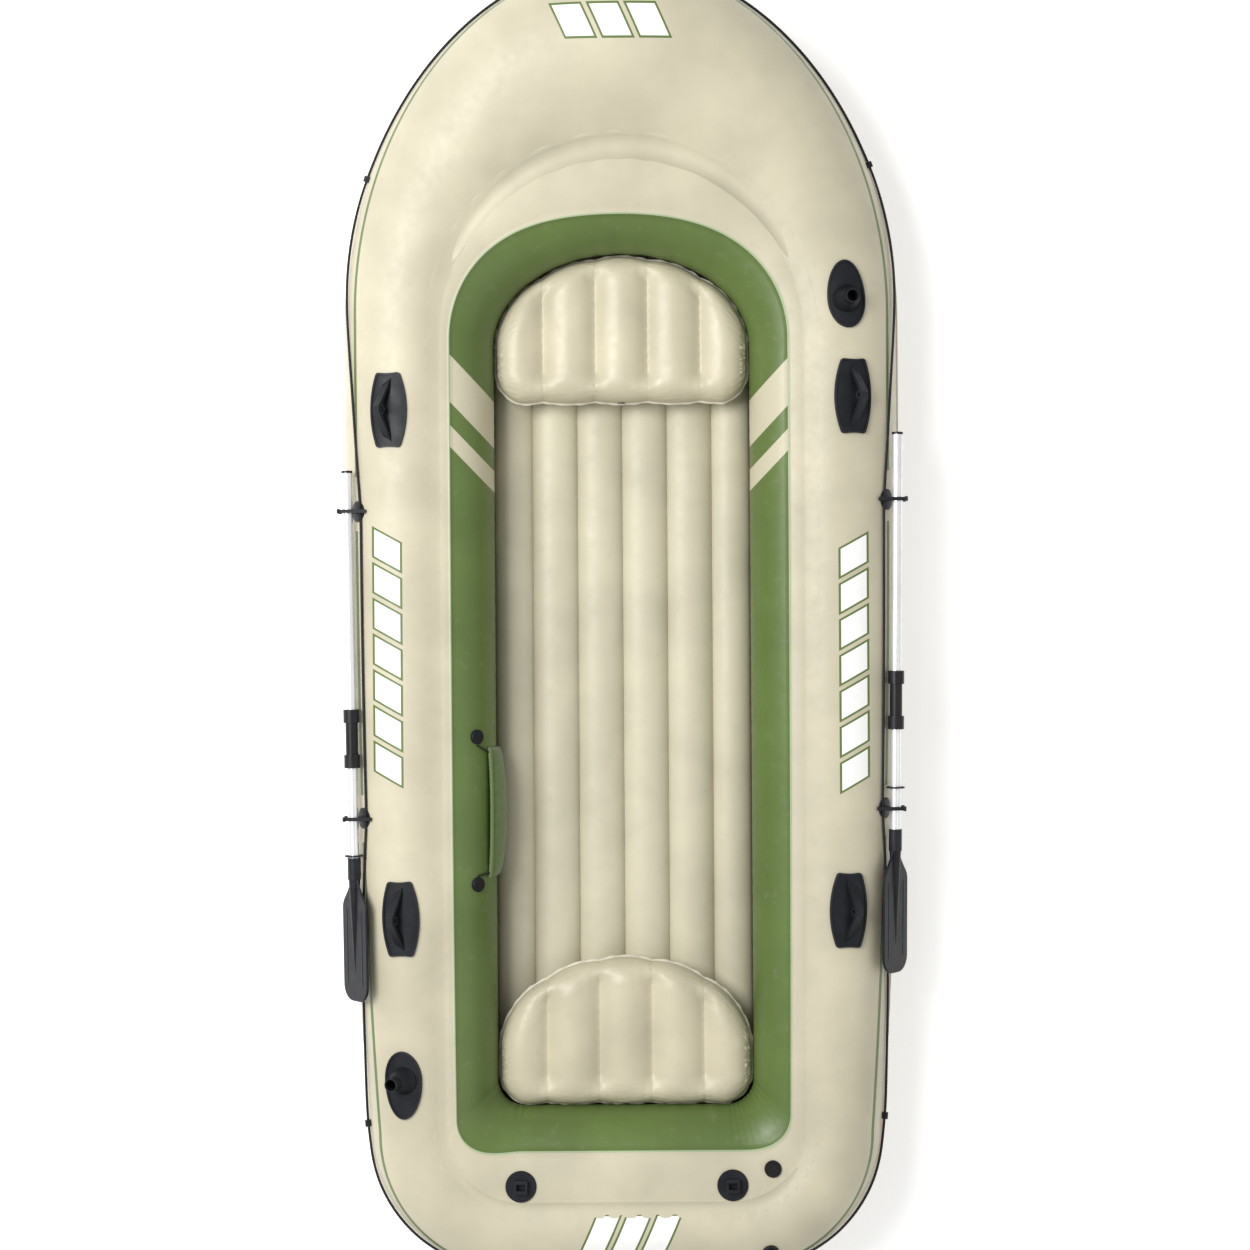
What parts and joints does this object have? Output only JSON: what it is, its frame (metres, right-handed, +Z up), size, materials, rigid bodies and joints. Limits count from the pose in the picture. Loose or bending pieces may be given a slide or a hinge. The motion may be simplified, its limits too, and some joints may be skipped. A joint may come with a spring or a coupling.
{
  "type": "inflatable rowing raft",
  "caption": "Inflatable rowing raft: twin-chamber oval hull, ribbed air floor, two air cushions, rowlocks, grab rope, rod holders, valves, side pouch and two stowed telescopic oars.",
  "frame": {"origin": "on the ground under the middle of the overall box", "axes": "+Y to the bow, +X to starboard, +Z up"},
  "size_m": [1.4747, 3.4058, 0.4683],
  "materials": {
    "beige_pvc": "satin welded PVC sheet",
    "green_pvc": "satin welded PVC sheet",
    "floor_pvc": "satin welded PVC sheet",
    "cushion_pvc": "satin welded PVC sheet",
    "black_rubber": "moulded, matte",
    "black_plastic": "moulded",
    "black_rope": "braided polypropylene",
    "shaft_metal": "drawn tube, satin",
    "pouch_fabric": "coated cloth"
  },
  "bodies": {
    "hull": {"bottom_sheet": "floor_pvc", "grab_rope": "black_rope", "grab_rope_knot": "black_rope", "inflatable_floor": "floor_pvc", "inner_chamber": "green_pvc", "inner_valve": "black_plastic", "outer_chamber": "beige_pvc", "outer_valve": "black_plastic", "port_front_oar_clip": "black_rubber", "port_front_rope_eye": "black_rubber", "port_front_rowlock": "black_rubber", "port_motor_socket": "black_rubber", "port_rear_oar_clip": "black_rubber", "port_rear_rope_eye": "black_rubber", "port_rear_rowlock": "black_rubber", "port_rod_holder": "black_rubber", "pouch_front_button": "black_rubber", "pouch_rear_button": "black_rubber", "starboard_front_oar_clip": "black_rubber", "starboard_front_rope_eye": "black_rubber", "starboard_front_rowlock": "black_rubber", "starboard_motor_socket": "black_rubber", "starboard_rear_oar_clip": "black_rubber", "starboard_rear_rope_eye": "black_rubber", "starboard_rear_rowlock": "black_rubber", "starboard_rod_holder": "black_rubber"},
    "front_cushion": {"front_cushion": "cushion_pvc", "front_cushion_valve": "black_plastic"},
    "rear_cushion": {"rear_cushion": "cushion_pvc", "rear_cushion_valve": "black_plastic"},
    "port_oar": {"port_oar_joint_sleeve": "black_plastic", "port_oar_lower_collar": "black_plastic", "port_oar_lower_shaft": "shaft_metal", "port_oar_blade": "black_plastic"},
    "port_oar_upper": {"port_oar_upper_shaft": "shaft_metal", "port_oar_end_plug": "black_plastic"},
    "port_oar_collar": {"port_oar_upper_collar": "black_plastic"},
    "port_drip_ring": {"port_oar_drip_ring": "black_rubber"},
    "starboard_oar": {"starboard_oar_joint_sleeve": "black_plastic", "starboard_oar_lower_collar": "black_plastic", "starboard_oar_lower_shaft": "shaft_metal", "starboard_oar_blade": "black_plastic"},
    "starboard_oar_upper": {"starboard_oar_upper_shaft": "shaft_metal", "starboard_oar_end_plug": "black_plastic"},
    "starboard_oar_collar": {"starboard_oar_upper_collar": "black_plastic"},
    "starboard_drip_ring": {"starboard_oar_drip_ring": "black_rubber"},
    "pouch": {"pouch": "pouch_fabric", "pouch_front_cord": "black_rope", "pouch_rear_cord": "black_rope"},
    "inner_valve_cap": {"inner_valve_cap": "black_plastic"},
    "outer_valve_cap": {"outer_valve_cap": "black_plastic"}
  },
  "joints": [
    {"name": "front_cushion_lift", "type": "slide", "parent": "hull", "child": "front_cushion", "axis": [0, 0, 1], "range_m": [0, 0.3]},
    {"name": "rear_cushion_lift", "type": "slide", "parent": "hull", "child": "rear_cushion", "axis": [0, 0, 1], "range_m": [0, 0.3]},
    {"name": "port_oar_unclip", "type": "slide", "parent": "hull", "child": "port_oar", "axis": [-1, 0, 0], "range_m": [0, 0.08]},
    {"name": "port_oar_telescope", "type": "slide", "parent": "port_oar", "child": "port_oar_upper", "axis": [-0.0121, 0.9999, 0.0005], "range_m": [0, 0.07]},
    {"name": "port_oar_lock_turn", "type": "hinge", "parent": "port_oar", "child": "port_oar_collar", "pos_m": [-0.70485, -0.22245, 0.28188], "axis": [-0.0121, 0.9999, 0.0005], "range_deg": [0, 90]},
    {"name": "port_drip_ring_slide", "type": "slide", "parent": "port_oar", "child": "port_drip_ring", "axis": [-0.0121, 0.9999, 0.0005], "range_m": [-0.0025, 0.06]},
    {"name": "starboard_oar_unclip", "type": "slide", "parent": "hull", "child": "starboard_oar", "axis": [1, 0, 0], "range_m": [0, 0.08]},
    {"name": "starboard_oar_telescope", "type": "slide", "parent": "starboard_oar", "child": "starboard_oar_upper", "axis": [0.0116, 0.9999, 0.0005], "range_m": [0, 0.07]},
    {"name": "starboard_oar_lock_turn", "type": "hinge", "parent": "starboard_oar", "child": "starboard_oar_collar", "pos_m": [0.70598, -0.13146, 0.28193], "axis": [0.0116, 0.9999, 0.0005], "range_deg": [0, 90]},
    {"name": "starboard_drip_ring_slide", "type": "slide", "parent": "starboard_oar", "child": "starboard_drip_ring", "axis": [0.0116, 0.9999, 0.0005], "range_m": [-0.018, 0.06]},
    {"name": "pouch_swing", "type": "hinge", "parent": "hull", "child": "pouch", "pos_m": [-0.378, -0.478, 0.27], "axis": [0, -1, 0], "range_deg": [0, 20]},
    {"name": "inner_valve_cap_turn", "type": "hinge", "parent": "hull", "child": "inner_valve_cap", "pos_m": [0.37695, -1.39592, 0.30733], "axis": [-0.066, 0.0988, 0.9929], "continuous": true},
    {"name": "outer_valve_cap_turn", "type": "hinge", "parent": "hull", "child": "outer_valve_cap", "pos_m": [0.36843, -1.60836, 0.31206], "axis": [0.1445, -0.4974, 0.8554], "continuous": true}
  ]
}
